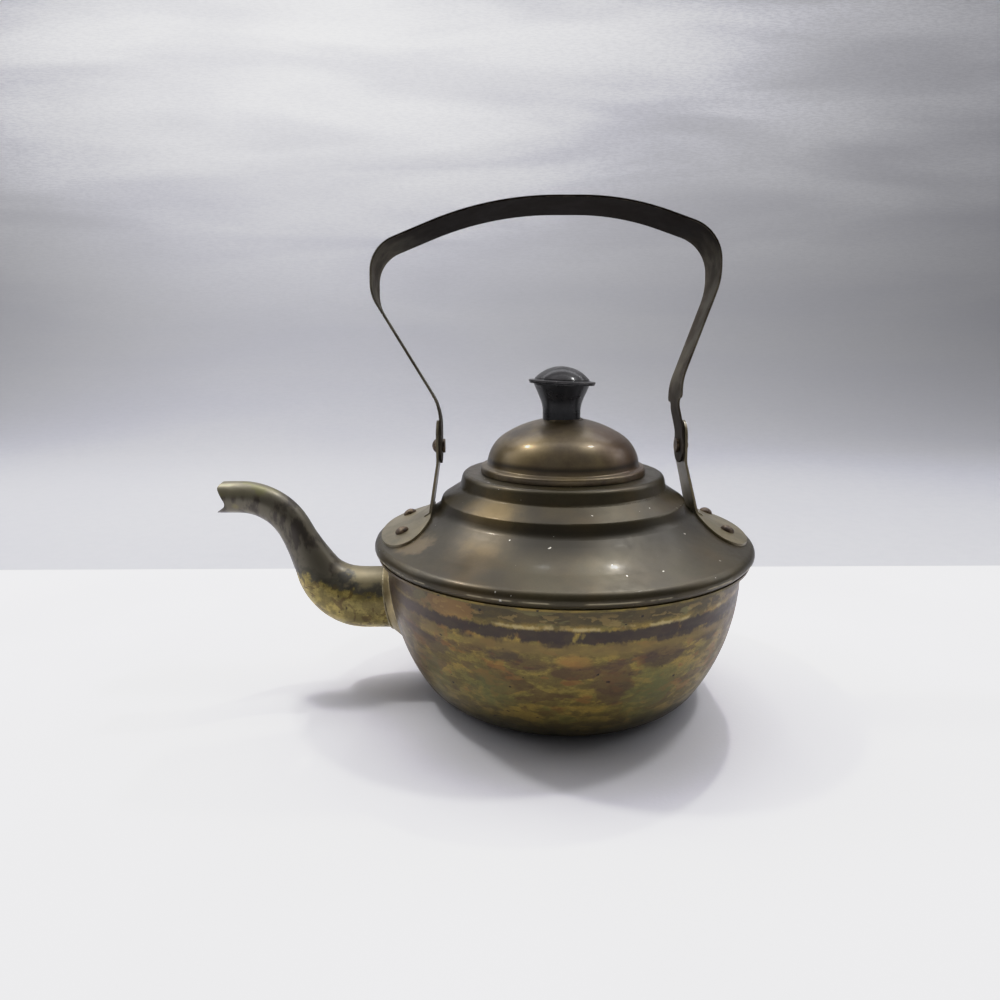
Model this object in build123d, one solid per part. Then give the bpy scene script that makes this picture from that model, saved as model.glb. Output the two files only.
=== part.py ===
from build123d import *
import math
import os

# A small spun-metal kettle with a gooseneck spout, a lift-off lid and a swinging strap handle.
# Sizes are in millimetres. The flat base stands on z = 0, +Z is up, the spout points along -X,
# and the handle swings about an axis along X.

# Spun sheet
bowl_wall = 0.9
shoulder_wall = 0.9
lid_wall = 0.8
tightest_bend = 0.15

# Bowl, from the flat base up to its turned-out flange
bowl_radius = 77.4
base_bend = 18.0
side_bend = 92.0
side_slope = 58.0
bowl_straight = 4.486
flange_bend = 1.5

# Fold at the rim, where the shoulder's turned-in edge rests on the bowl's flange
rim_overhang = 5.1
flange_setback = 1.4
fold_width = 3.5
fold_run, fold_rise, fold_bend = 2.0, 2.15, 1.2
rim_height = 5.464
rim_bend = 3.6
seam_gap = 0.05

# Shoulder, from the rim in to the neck, as steps inward and upward
shoulder_run, shoulder_rise, shoulder_bend = 17.7, 6.2, 60.0
flare_run, flare_rise, flare_bend = 10.5, 6.8, 5.0
crest_run, crest_rise, crest_bend = 1.6, 4.4, 1.2
ledge_run, ledge_rise, ledge_bend = 7.8, 5.0, 1.4
collar_run, collar_rise, collar_bend = 1.4, 5.8, 2.4
mouth_run, neck_depth, neck_bend = 10.1, 6.8, 1.3

# Spout
spout_height = 39.8
spout_root_radius = 13.8
spout_neck_radius = 7.3
spout_tip_radius = 6.9
spout_wall = 1.1
spout_hole_radius = 12.0
spout_first_bend = 24.0
spout_second_bend = 26.0
spout_knee_out = 25.6
spout_rise_out = 22.8
spout_rise = 46.7
spout_beak_out = 27.4
spout_sections = 24
lip_setback, lip_height, lip_round = 2.7, 5.3, 1.6
notch_depth, notch_drop, notch_round = 6.9, 2.5, 2.5
brow_run, brow_over = 2.1, 0.6
chin_drop = 7.3

# Saddle between spout and bowl
saddle_wall = 0.5
saddle_sleeve = 1.5
saddle_reach = 0.1
saddle_spare = 4.0
saddle_tilt = 8.5
saddle_flare_run = 5.5
saddle_flare_rise = 4.2
saddle_bend = 4.0
saddle_fit = 0.03

# Ears, one on each side, with a plate bent to the shoulder and an upright tongue
ear_wall = 1.0
ear_seat = 0.05
plate_from_rim = 15.0
plate_half_run = 12.0
plate_half_span = 31.0
fold_from_flare = 2.9
fold_foot = 2.5
ear_bend = 1.8
tongue_foot_width = 21.0
tongue_top_radius = 7.5
tongue_above_pivot = 11.0
joggle_below_pivot = 6.5
joggle_bend = 12.0

# Ear rivets
rivet_from_rim = 13.5
rivet_apart = 32.0
rivet_shank_radius = 1.5
rivet_head_radius = 2.8
rivet_head_height = 1.8
rivet_tail_radius = 2.4
rivet_tail_height = 1.0
rivet_seat = 0.08
rivet_fit = 0.05

# Handle pivot
pivot_rise = 11.2
pin_radius = 2.0
pin_head_radius = 3.3
pin_head_height = 2.2
pin_tail_radius = 3.0
pin_tail_height = 1.0
pin_fit = 0.03
swing_fit = 0.05
side_gap = 0.28

# Handle strap, drawn upright in its own plane with the pivot axis at height 0, from the left eye
# over the crown to the right eye
strap_wall = 0.85
strap_width = 22.4
strap_lean = 10.4
least_run = 0.5
eye_radius = 7.5
waist_width = 12.6
waist_height = 19.7
waist_round = 2.2
left_eye_out = 0.3
left_knee_height, left_knee_bend = 16.5, 25.0
left_side_in = 1.3
left_elbow_height, left_elbow_bend = 62.6, 17.0
left_corner_height, left_corner_bend = 82.3, 15.0
crown_height = 103.2
crown_left_run, crown_left_bend = 50.2, 140.0
crown_right_run, crown_right_bend = 39.3, 110.0
right_side_in = 17.2
right_corner_height, right_corner_bend = 89.1, 17.0
right_elbow_height, right_elbow_bend = 68.9, 32.0
right_knee_in, right_knee_height, right_knee_bend = 1.7, 27.0, 25.0
right_waist_in, right_waist_height, right_waist_bend = 1.9, 16.5, 8.0
right_foot_height, right_foot_bend = 7.0, 8.0
right_eye_in = 1.8

# Lid
lid_gap = 0.2
lid_overlap = 2.3
lid_edge_height = 2.5
lid_edge_bend = 1.0
lid_groove_in = 2.7
lid_groove_rise = 0.8
lid_groove_bend = 0.8
dome_side_height = 1.1
dome_side_lean = 8.0
dome_bend = 16.3
dome_rise = 18.9
ring_clearance = 0.4
ring_wall = 0.8
ring_depth = 5.8
solder_gap = 0.1

# Knob and its screw
knob_shift = -0.8
knob_tilt = 2.8
knob_nod = 1.2
stem_radius = 8.1
stem_straight = 5.3
stem_flare_bend = 14.0
stem_flare_run = 3.9
stem_flare_rise = 9.0
stem_seat = 0.05
stem_disc_radius = 14.0
stem_disc_wall = 0.7
cap_brim_radius = 14.3
cap_brim_wall = 0.65
cap_slope_in = 2.7
cap_slope_rise = 0.3
cap_wall_rise = 0.5
cap_dome_rise = 5.3
cap_radius_round = 0.4
screw_radius = 2.0
screw_length = 13.0
screw_fit = 0.05
screw_hole_radius = 2.3
screw_head_radius = 3.8
screw_head_height = 2.2
washer_radius = 6.0
washer_wall = 0.8
washer_seat = 0.05

# Heights and radii that follow from the sizes above
quarter_turn = 90.0
side_turn = quarter_turn - side_slope
base_flat = (
    bowl_radius
    - side_bend * (1 - math.cos(math.radians(side_turn)))
    - base_bend * math.sin(math.radians(side_slope))
)
base_top = base_bend * (1 - math.cos(math.radians(side_slope)))
bend_top = base_top + side_bend * math.sin(math.radians(side_turn))
flange_z = bend_top + bowl_straight + flange_bend
rim_radius = bowl_radius + rim_overhang
flange_radius = rim_radius - flange_setback
fold_z = flange_z + bowl_wall + seam_gap
rim_z = fold_z + rim_height
shoulder_top = (rim_radius - shoulder_run, rim_z + shoulder_rise)
flare_top = (shoulder_top[0] - flare_run, shoulder_top[1] + flare_rise)
crest = (flare_top[0] - crest_run, flare_top[1] + crest_rise)
ledge_foot = (crest[0] - ledge_run, crest[1] + ledge_rise)
collar_edge = (ledge_foot[0] - collar_run, ledge_foot[1] + collar_rise)
neck_radius = collar_edge[0] - mouth_run
collar_z = collar_edge[1]
pivot_z = collar_z + pivot_rise
plate_centre = rim_radius - plate_from_rim
fold_radius = flare_top[0] + fold_from_flare
rivet_out = rim_radius - rivet_from_rim
left_strap_x = -(crest[0] + left_eye_out)
right_strap_x = crest[0] - right_eye_in
left_side_x = -(rim_radius - left_side_in)
right_side_x = rim_radius - right_side_in
spout_knee_x = -(bowl_radius + spout_knee_out)
spout_rise_x = spout_knee_x - spout_rise_out
spout_mouth_z = spout_height + spout_rise
spout_tip_x = spout_rise_x - spout_beak_out
lid_z = collar_z + lid_gap
lid_radius = neck_radius + lid_overlap
groove_radius = lid_radius - lid_groove_in
groove_z = lid_z + lid_edge_height + lid_groove_rise
dome_side = math.radians(dome_side_lean)
dome_start = (groove_radius - dome_side_height * math.tan(dome_side), groove_z + dome_side_height)
bend_centre_out = dome_start[0] - dome_bend * math.cos(dome_side)
bend_centre = (bend_centre_out, dome_start[1] - dome_bend * math.sin(dome_side))
dome_z = dome_start[1] + dome_rise
crown_drop = dome_z - bend_centre[1]
crown_radius = (bend_centre[0] ** 2 + crown_drop**2 - dome_bend**2) / (2 * (crown_drop - dome_bend))
crown_z = dome_z - crown_radius
dome_joint = math.degrees(math.atan2(bend_centre[1] - crown_z, bend_centre[0]))
disc_z = dome_z + stem_straight + stem_flare_rise
pad = 40.0


def offset_corner(before, corner, after, wall):
    # The mitre of a corner keeps both of its runs one wall away, on the left of the way they go.
    into = Vector(corner) - Vector(before)
    out = Vector(after) - Vector(corner)
    into_left = Vector(-into.Y, into.X).normalized()
    out_left = Vector(-out.Y, out.X).normalized()
    mitre = (into_left + out_left) * (wall / (1 + into_left.dot(out_left)))
    turns_left = into.X * out.Y - into.Y * out.X > 0
    return Vector(corner) + mitre, turns_left


def offset_line(points, radii, wall):
    # The same bent line one wall to its left, or to its right where the wall is negative.
    first = Vector(points[1]) - Vector(points[0])
    last = Vector(points[-1]) - Vector(points[-2])
    moved = [Vector(points[0]) + Vector(-first.Y, first.X).normalized() * wall]
    bends = []
    for index, radius in enumerate(radii):
        corner, turns_left = offset_corner(points[index], points[index + 1], points[index + 2], wall)
        moved.append(corner)
        bends.append(max(radius - wall if turns_left else radius + wall, tightest_bend))
    moved.append(Vector(points[-1]) + Vector(-last.Y, last.X).normalized() * wall)
    return moved, bends


def closed_face(lower, upper):
    # Two lines of edges that start and end side by side, closed by a straight edge at each end.
    starts = Line(lower[0] @ 0, upper[0] @ 0)
    ends = Line(lower[-1] @ 1, upper[-1] @ 1)
    return make_face([*lower, *upper, starts, ends])


def sheet_face(points, radii, wall, clear=0.0):
    # The section of a bent sheet, which may lie a clearance away from the given line.
    sides = []
    for distance in (clear, clear + wall):
        moved, bends = offset_line(points, radii, distance)
        sides.append(FilletPolyline(*moved, radius=bends).edges())
    return closed_face(*sides)


def spin(face):
    # Sections are drawn as radius and height, and spun about the kettle's upright axis.
    return revolve(Plane.XZ * face, Axis.Z)


def bowl_line(inset):
    # The bowl's outer line, or its inner one where it is inset by the wall.
    base_centre = (base_flat, base_bend)
    side_centre = (bowl_radius - side_bend, bend_top)
    side_radius = bowl_radius - inset
    lip = FilletPolyline(
        (side_radius, bend_top),
        (side_radius, flange_z + inset),
        (flange_radius, flange_z + inset),
        radius=flange_bend + inset,
    )
    return [
        Line((0, inset), (base_flat, inset)),
        CenterArc(base_centre, base_bend - inset, -quarter_turn, side_slope),
        CenterArc(side_centre, side_bend - inset, -side_turn, side_turn),
        *lip.edges(),
    ]


def bowl_block():
    # Everything inside the bowl's outer face, which trims what is joined to it.
    side = bowl_line(0)[:3]
    rest = Polyline(side[-1] @ 1, (bowl_radius, rim_z), (0, rim_z), (0, 0))
    return spin(make_face([*side, *rest.edges()]))


def make_bowl():
    sheet = spin(closed_face(bowl_line(0), bowl_line(bowl_wall)))
    base = (Align.CENTER, Align.CENTER, Align.MIN)
    hole = Cylinder(spout_hole_radius, bowl_radius + pad, align=base)
    return sheet - Pos(0, 0, spout_height) * Rot(0, -90, 0) * hole


def shoulder_line():
    points = [
        (rim_radius - fold_width, fold_z),
        (rim_radius - fold_run, fold_z),
        (rim_radius, fold_z + fold_rise),
        (rim_radius, rim_z),
        shoulder_top,
        flare_top,
        crest,
        ledge_foot,
        collar_edge,
        (neck_radius, collar_z),
        (neck_radius, collar_z - neck_depth),
    ]
    rim_bends = [fold_bend, fold_bend, rim_bend]
    radii = [*rim_bends, shoulder_bend, flare_bend, crest_bend, ledge_bend, collar_bend, neck_bend]
    return points, radii


def make_shoulder():
    points, radii = shoulder_line()
    return spin(sheet_face(points, radii, shoulder_wall))


def on_shoulder(shoulder, x, y):
    # The highest point of the shoulder at a place, and the direction that it faces there.
    hits = shoulder.find_intersection_points(Axis((x, y, pivot_z), (0, 0, -1)))
    point, normal = max(hits, key=lambda hit: hit[0].Z)
    return point, normal if normal.Z > 0 else -normal


def spout_path():
    return Plane.XZ * FilletPolyline(
        (-(bowl_radius - bowl_wall), spout_height),
        (spout_knee_x, spout_height),
        (spout_rise_x, spout_mouth_z),
        (spout_tip_x, spout_mouth_z),
        radius=[spout_first_bend, spout_second_bend],
    )


def spout_radius(share_of_taper, share_of_beak):
    # The tube narrows smoothly through its first bend and riser, then tapers gently to the tip.
    ease = (1 - math.cos(math.pi * share_of_taper)) / 2
    tapered = spout_root_radius + (spout_neck_radius - spout_root_radius) * ease
    return tapered + (spout_tip_radius - spout_neck_radius) * share_of_beak


def spout_tube(path, inset):
    root, first, riser, second, beak = (edge.length for edge in path.edges())
    taper = first + riser
    rings = []
    for step in range(spout_sections + 1):
        along = root + (path.length - root) * step / spout_sections
        share_of_taper = min((along - root) / taper, 1)
        share_of_beak = max((along - root - taper) / (second + beak), 0)
        share = along / path.length
        place = Plane(origin=path @ share, z_dir=path % share, x_dir=(0, 1, 0))
        rings.append(place * Circle(spout_radius(share_of_taper, share_of_beak) - inset))
    return extrude(rings[0], -root) + loft(rings)


def mouth_cutter():
    # Cuts the tip to a rounded upper lip, a notch on each cheek and a chin that reaches furthest.
    chin = (spout_tip_x, spout_mouth_z - chin_drop)
    notch = (spout_tip_x + notch_depth, spout_mouth_z - notch_drop)
    lip = (spout_tip_x + lip_setback, spout_mouth_z + lip_height)
    brow = (lip[0] + brow_run, spout_mouth_z + spout_tip_radius + brow_over)
    above = (brow[0], brow[1] + pad)
    corner = (spout_tip_x - pad, brow[1] + pad)
    below = (spout_tip_x - pad, chin[1])
    outline = [
        FilletPolyline(chin, notch, lip, brow, radius=[notch_round, lip_round]),
        Polyline(brow, above, corner, below, chin),
    ]
    face = make_face([edge for line in outline for edge in line.edges()])
    return extrude(Plane.XZ * face, pad, both=True)


def make_spout(block):
    path = spout_path()
    tube = spout_tube(path, 0) - spout_tube(path, spout_wall)
    return tube - block - mouth_cutter()


def make_spout_flange(block):
    # A thin sleeve round the spout's root, flared into a saddle that the bowl trims. The sleeve's
    # outer end is cut on a slant, and reaches further out above than below.
    sleeve_radius = spout_root_radius + saddle_fit
    edge_x = -(bowl_radius + saddle_reach)
    points = [
        (edge_x - saddle_spare, sleeve_radius),
        (edge_x + saddle_sleeve, sleeve_radius),
        (edge_x + saddle_sleeve + saddle_flare_run, sleeve_radius + saddle_flare_rise),
    ]
    section = sheet_face(points, [saddle_bend], saddle_wall)
    body = Pos(0, 0, spout_height) * Rot(90, 0, 0) * revolve(section, Axis.X)
    inner_side = Box(2 * pad, 2 * pad, 2 * pad, align=(Align.MIN, Align.CENTER, Align.CENTER))
    keep = Pos(edge_x, 0, spout_height) * Rot(0, -saddle_tilt, 0) * inner_side
    return (body & keep) - block


def tongue_outline(low, width):
    # The tongue seen along X: it narrows upward to a half-round top about the pivot.
    top = pivot_z + tongue_above_pivot - tongue_top_radius
    half = width / 2
    corners = [(-half, low), (half, low), (tongue_top_radius, top), (-tongue_top_radius, top)]
    return Polygon(*corners, align=None) + Pos(0, top) * Circle(tongue_top_radius)


def make_ear(shoulder, tongue_x, mirrored):
    # The plate is part of a spun sheet over the shoulder, cut to an oval.
    points, radii = shoulder_line()
    cover = spin(sheet_face(points[3:7], radii[3:5], -ear_wall, -ear_seat))
    oval = Pos(plate_centre, 0, rim_z - pad) * extrude(Ellipse(plate_half_run, plate_half_span), 2 * pad)
    outer_side = Box(2 * pad, 4 * pad, 4 * pad, align=(Align.MIN, Align.CENTER, Align.CENTER))
    plate = cover & oval & (Pos(fold_radius, 0, rim_z) * outer_side)
    # The tongue's inner face leaves the shoulder at the fold and stands upright beside the strap.
    foot, _ = on_shoulder(shoulder, fold_radius + fold_foot, 0)
    fold, _ = on_shoulder(shoulder, fold_radius, 0)
    side = [
        (foot.X, foot.Z + ear_seat),
        (fold.X, fold.Z + ear_seat),
        (tongue_x, pivot_z - joggle_below_pivot),
        (tongue_x, pivot_z + tongue_above_pivot),
    ]
    section = sheet_face(side, [ear_bend, joggle_bend], -ear_wall)
    strip = extrude(Plane.XZ * section, tongue_foot_width, both=True)
    outline = extrude(Plane.YZ * tongue_outline(foot.Z - ear_wall, tongue_foot_width), 2 * plate_centre)
    ear = plate + (strip & outline)
    for side_y in (-1, 1):
        ear -= rivet_hole(shoulder, side_y)
    ear -= pivot_hole(pin_radius + pin_fit)
    return mirror(ear, Plane.YZ) if mirrored else ear


def rivet_place(shoulder, side_y):
    point, normal = on_shoulder(shoulder, rivet_out, side_y * rivet_apart / 2)
    return Plane(origin=point, z_dir=normal)


def rivet_hole(shoulder, side_y):
    return rivet_place(shoulder, side_y) * Cylinder(rivet_shank_radius + rivet_fit, pad / 4)


def pivot_hole(radius):
    return Pos(0, 0, pivot_z) * Cylinder(radius, 4 * bowl_radius, rotation=(0, 90, 0))


def rivet(shank_radius, grip, head_radius, head_height, tail_radius, tail_height):
    # Its head sits on z = 0 and its shank goes down through the grip to a flat tail.
    cap_radius = (head_radius**2 + head_height**2) / (2 * head_height)
    cap_z = head_height - cap_radius
    start = math.degrees(math.atan2(-cap_z, head_radius))
    lower = Polyline(
        (0, head_height),
        (0, -grip - tail_height),
        (tail_radius, -grip - tail_height),
        (tail_radius, -grip),
        (shank_radius, -grip),
        (shank_radius, 0),
        (head_radius, 0),
    )
    cap = CenterArc((0, cap_z), cap_radius, start, quarter_turn - start)
    return spin(make_face([*lower.edges(), cap]))


def make_ear_rivets(shoulder, mirrored):
    over = ear_seat + ear_wall + rivet_seat
    grip = over + shoulder_wall + rivet_seat
    head = (rivet_head_radius, rivet_head_height)
    tail = (rivet_tail_radius, rivet_tail_height)
    blank = rivet(rivet_shank_radius, grip, *head, *tail)
    rivets = [rivet_place(shoulder, side_y) * Pos(0, 0, over) * blank for side_y in (-1, 1)]
    both = Compound(children=rivets)
    return mirror(both, Plane.YZ) if mirrored else both


def tongue_inner(strap_x):
    return abs(strap_x) + strap_wall / 2 + side_gap


def make_pivot_rivet(strap_x):
    head_x = tongue_inner(strap_x) + ear_wall
    grip = ear_wall + 2 * side_gap + strap_wall
    pin = rivet(pin_radius, grip, pin_head_radius, pin_head_height, pin_tail_radius, pin_tail_height)
    direction = math.copysign(1, strap_x)
    return Plane(origin=(direction * head_x, 0, pivot_z), z_dir=(direction, 0, 0)) * pin


def strap_outline(highest):
    # The strap seen along X: full width above, then a waist and a round eye at each end.
    half = strap_width / 2
    waist = waist_width / 2
    side = [(half, waist_height + highest), (half, waist_height), (waist, waist_height), (waist, 0)]
    points = side + [(-y, z) for y, z in reversed(side)]
    rounds = [waist_round, waist_round, waist / 2]
    edge = FilletPolyline(*points, radius=rounds + rounds[::-1])
    return make_face([*edge.edges(), Line(points[-1], points[0])]) + Circle(eye_radius)


def strap_corners():
    # Each corner of the bent strip is its place along X, its height and its bend.
    return [
        (left_strap_x, left_knee_height, left_knee_bend),
        (left_side_x, left_elbow_height, left_elbow_bend),
        (left_side_x, left_corner_height, left_corner_bend),
        (left_side_x + crown_left_run, crown_height, crown_left_bend),
        (right_side_x - crown_right_run, crown_height, crown_right_bend),
        (right_side_x, right_corner_height, right_corner_bend),
        (right_side_x, right_elbow_height, right_elbow_bend),
        (right_strap_x - right_knee_in, right_knee_height, right_knee_bend),
        (right_strap_x - right_waist_in, right_waist_height, right_waist_bend),
        (right_strap_x, right_foot_height, right_foot_bend),
    ]


def bends_that_fit(points, bends):
    # Where two neighbouring bends would meet on the run between them, both get smaller.
    reach = [0.0]
    for before, corner, after, bend in zip(points, points[1:], points[2:], bends):
        into = Vector(corner) - Vector(before)
        out = Vector(after) - Vector(corner)
        reach.append(bend * math.tan(math.radians(into.get_angle(out)) / 2))
    reach.append(0.0)
    room = []
    for start, end, near, far in zip(points, points[1:], reach, reach[1:]):
        run = (Vector(end) - Vector(start)).length - least_run
        room.append(min(1.0, run / (near + far)))
    return [bend * min(before, after) for bend, before, after in zip(bends, room, room[1:])]


def make_handle_strap():
    corners = strap_corners()
    points = [(left_strap_x, -eye_radius), *(corner[:2] for corner in corners), (right_strap_x, -eye_radius)]
    bends = bends_that_fit(points, [corner[2] for corner in corners])
    section = sheet_face(points, bends, strap_wall, -strap_wall / 2)
    strip = extrude(Plane.XZ * section, strap_width / 2, both=True)
    shape = strip & extrude(Plane.YZ * strap_outline(crown_height), 2 * bowl_radius, both=True)
    shape -= Cylinder(pin_radius + swing_fit, 4 * bowl_radius, rotation=(0, 90, 0))
    return Pos(0, 0, pivot_z) * Rot(-strap_lean, 0, 0) * shape


def lid_line(inset):
    edge_points = [
        (lid_radius, lid_z),
        (lid_radius, lid_z + lid_edge_height),
        (groove_radius, groove_z),
        dome_start,
    ]
    moved, bends = offset_line(edge_points, [lid_edge_bend, lid_groove_bend], inset)
    return [
        *FilletPolyline(*moved, radius=bends).edges(),
        CenterArc(bend_centre, dome_bend - inset, dome_side_lean, dome_joint - dome_side_lean),
        CenterArc((0, crown_z), crown_radius - inset, dome_joint, quarter_turn - dome_joint),
    ]


def make_lid_dome():
    sheet = spin(closed_face(lid_line(0), lid_line(lid_wall)))
    return sheet - Pos(knob_shift, 0, dome_z) * Cylinder(screw_hole_radius, pad)


def make_lid_ring():
    # A short tube inside the lid that drops into the neck and keeps the lid from sliding off.
    outer = neck_radius - ring_clearance
    slope = lid_groove_rise / lid_groove_in
    under = lid_z + lid_edge_height + slope * (lid_radius - outer) - lid_wall * math.hypot(1, slope)
    bottom = collar_z - ring_depth
    height = under - solder_gap - bottom
    base = (Align.CENTER, Align.CENTER, Align.MIN)
    tube = Cylinder(outer, height, align=base) - Cylinder(outer - ring_wall, height, align=base)
    return Pos(0, 0, bottom) * tube


def tilted(z):
    # The top of the knob sits askew on its stem, lower on the right and a little raised in front.
    return Pos(0, 0, z) * Rot(-knob_nod, knob_tilt, 0)


def make_knob_stem():
    foot_z = dome_z - 2 * lid_wall
    flare_z = dome_z + stem_straight
    flare_radius = stem_radius + stem_flare_run
    side = FilletPolyline(
        (stem_radius, foot_z),
        (stem_radius, flare_z),
        (flare_radius, disc_z),
        radius=stem_flare_bend,
    )
    top_z = disc_z + stem_disc_wall + cap_dome_rise
    corners = [(flare_radius, disc_z), (flare_radius, top_z), (0, top_z), (0, foot_z), (stem_radius, foot_z)]
    rest = Polyline(*corners)
    stem = spin(make_face([*side.edges(), *rest.edges()]))
    above = Box(pad, pad, pad, align=(Align.CENTER, Align.CENTER, Align.MIN))
    stem -= tilted(disc_z + stem_disc_wall) * above
    disc = Cylinder(stem_disc_radius, stem_disc_wall, align=(Align.CENTER, Align.CENTER, Align.MAX))
    stem += tilted(disc_z + stem_disc_wall) * disc
    seat_radius = crown_radius + stem_seat
    stem = Pos(knob_shift, 0, 0) * stem - Pos(0, 0, crown_z) * Sphere(seat_radius)
    screw_hole = Cylinder(screw_radius + screw_fit, 2 * (screw_length + screw_fit))
    return stem - Pos(knob_shift, 0, dome_z) * screw_hole


def make_knob_cap():
    wall_radius = cap_brim_radius - cap_slope_in
    slope_z = cap_brim_wall + cap_slope_rise
    wall_z = slope_z + cap_wall_rise
    side = FilletPolyline(
        (cap_brim_radius, 0),
        (cap_brim_radius, cap_brim_wall),
        (wall_radius, slope_z),
        (wall_radius, wall_z),
        radius=[cap_brim_wall / 2, cap_radius_round],
    )
    top_z = wall_z + cap_dome_rise
    dome_radius = (wall_radius**2 + cap_dome_rise**2) / (2 * cap_dome_rise)
    start = math.degrees(math.atan2(dome_radius - cap_dome_rise, wall_radius))
    dome = CenterArc((0, top_z - dome_radius), dome_radius, start, quarter_turn - start)
    rest = Polyline((0, top_z), (0, 0), (cap_brim_radius, 0))
    cap = spin(make_face([*side.edges(), dome, *rest.edges()]))
    return Pos(knob_shift, 0, 0) * tilted(disc_z + stem_disc_wall) * cap


def inner_dome_height(radius):
    return crown_z + math.sqrt((crown_radius - lid_wall) ** 2 - radius**2)


def washer_top():
    # The washer is flat, so its rim meets the curved inner face of the lid first.
    return inner_dome_height(washer_radius + abs(knob_shift)) - washer_seat


def make_knob_washer():
    ring = Cylinder(washer_radius, washer_wall) - Cylinder(screw_radius + screw_fit, washer_wall)
    return Pos(knob_shift, 0, washer_top() - washer_wall / 2) * ring


def make_knob_screw():
    # A round-headed screw from below, with its shank ending inside the stem.
    head_z = washer_top() - washer_wall - washer_seat
    grip = dome_z + screw_length - head_z
    base = (Align.CENTER, Align.CENTER, Align.MIN)
    cap_radius = (screw_head_radius**2 + screw_head_height**2) / (2 * screw_head_height)
    start = math.degrees(math.atan2(cap_radius - screw_head_height, screw_head_radius))
    arc = CenterArc((0, screw_head_height - cap_radius), cap_radius, start, quarter_turn - start)
    rest = Polyline((0, screw_head_height), (0, 0), (screw_head_radius, 0))
    head = Rot(180, 0, 0) * spin(make_face([arc, *rest.edges()]))
    shank = Cylinder(screw_radius, grip, align=base)
    return Pos(knob_shift, 0, head_z) * (head + shank)


def make_parts():
    block = bowl_block()
    spun_shoulder = make_shoulder()
    shoulder = spun_shoulder
    for turn in (0, 180):
        for side_y in (-1, 1):
            shoulder -= Rot(0, 0, turn) * rivet_hole(spun_shoulder, side_y)
    return {
        "bowl": make_bowl(),
        "shoulder": shoulder,
        "spout": make_spout(block),
        "spout_flange": make_spout_flange(block),
        "left_ear": make_ear(spun_shoulder, tongue_inner(left_strap_x), True),
        "right_ear": make_ear(spun_shoulder, tongue_inner(right_strap_x), False),
        "left_ear_rivets": make_ear_rivets(spun_shoulder, True),
        "right_ear_rivets": make_ear_rivets(spun_shoulder, False),
        "left_pivot_rivet": make_pivot_rivet(left_strap_x),
        "right_pivot_rivet": make_pivot_rivet(right_strap_x),
        "handle_strap": make_handle_strap(),
        "lid_dome": make_lid_dome(),
        "lid_ring": make_lid_ring(),
        "knob_stem": make_knob_stem(),
        "knob_cap": make_knob_cap(),
        "knob_screw": make_knob_screw(),
        "knob_washer": make_knob_washer(),
    }


os.makedirs("parts", exist_ok=True)
for name, shape in make_parts().items():
    export_step(shape, os.path.join("parts", name + ".step"))
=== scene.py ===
import math
import bpy
from mathutils import Matrix, Vector


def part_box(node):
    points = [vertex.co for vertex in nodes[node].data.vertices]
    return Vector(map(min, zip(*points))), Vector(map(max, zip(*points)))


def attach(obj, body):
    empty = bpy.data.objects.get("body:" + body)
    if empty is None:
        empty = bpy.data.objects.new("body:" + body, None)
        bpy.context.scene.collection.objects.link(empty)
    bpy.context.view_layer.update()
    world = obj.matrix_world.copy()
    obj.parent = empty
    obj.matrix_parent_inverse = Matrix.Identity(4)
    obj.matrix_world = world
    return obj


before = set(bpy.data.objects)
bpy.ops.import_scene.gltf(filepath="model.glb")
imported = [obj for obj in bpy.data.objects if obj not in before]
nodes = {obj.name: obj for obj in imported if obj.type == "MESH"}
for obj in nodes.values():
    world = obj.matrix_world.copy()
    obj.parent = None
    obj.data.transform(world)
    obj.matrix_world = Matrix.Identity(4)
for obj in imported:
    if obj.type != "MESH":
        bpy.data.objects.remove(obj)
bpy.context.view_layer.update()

print("kettle loaded:", len(nodes), "nodes")


def paint(red, green, blue):
    # a colour as a painter reads it, 0 to 255, turned into light
    def light(value):
        value = value / 255
        return value / 12.92 if value <= 0.04045 else ((value + 0.055) / 1.055) ** 2.4
    return (light(red), light(green), light(blue), 1.0)


def aroundKettle(turn, radius, height):
    # turn is in degrees from the front, positive to the right; sizes in mm
    angle = math.radians(turn)
    return (radius * math.sin(angle) / 1000, -radius * math.cos(angle) / 1000, height / 1000)


# the functions from here to newGroup each add a node or two to a tree

def setInputs(tree, node, values):
    # a socket is linked, and anything else becomes the input's own value
    for key, value in values.items():
        if isinstance(value, bpy.types.NodeSocket):
            tree.links.new(value, node.inputs[key])
        else:
            node.inputs[key].default_value = value
    return node


def addNode(tree, kind, inputs=None, **settings):
    node = tree.nodes.new(kind)
    for name, value in settings.items():
        setattr(node, name, value)
    return setInputs(tree, node, inputs or {})


def calc(tree, operation, first, second=0.0, clamp=False):
    return addNode(tree, "ShaderNodeMath", {0: first, 1: second},
                   operation=operation, use_clamp=clamp).outputs[0]


def plus(tree, first, second):
    return calc(tree, "ADD", first, second)


def minus(tree, first, second):
    return calc(tree, "SUBTRACT", first, second)


def times(tree, first, second):
    return calc(tree, "MULTIPLY", first, second)


def opposite(tree, mask):
    return minus(tree, 1.0, mask)


def oneOver(tree, size):
    # a texture's scale is one over the size of its features
    return calc(tree, "DIVIDE", 1.0, size)


def mixed(tree, first, second, firstPart):
    # two heights or noises in fixed parts that add up to one
    return plus(tree, times(tree, first, firstPart), times(tree, second, 1.0 - firstPart))


def vectorMath(tree, operation, first, second=(0, 0, 0)):
    return addNode(tree, "ShaderNodeVectorMath", {0: first, 1: second}, operation=operation).outputs[0]


def vectorValue(tree, operation, first, second=(0, 0, 0)):
    made = addNode(tree, "ShaderNodeVectorMath", {0: first, 1: second}, operation=operation)
    return made.outputs["Value"]


def scaledVector(tree, vector, amount):
    return addNode(tree, "ShaderNodeVectorMath", {0: vector, "Scale": amount}, operation="SCALE").outputs[0]


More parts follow.
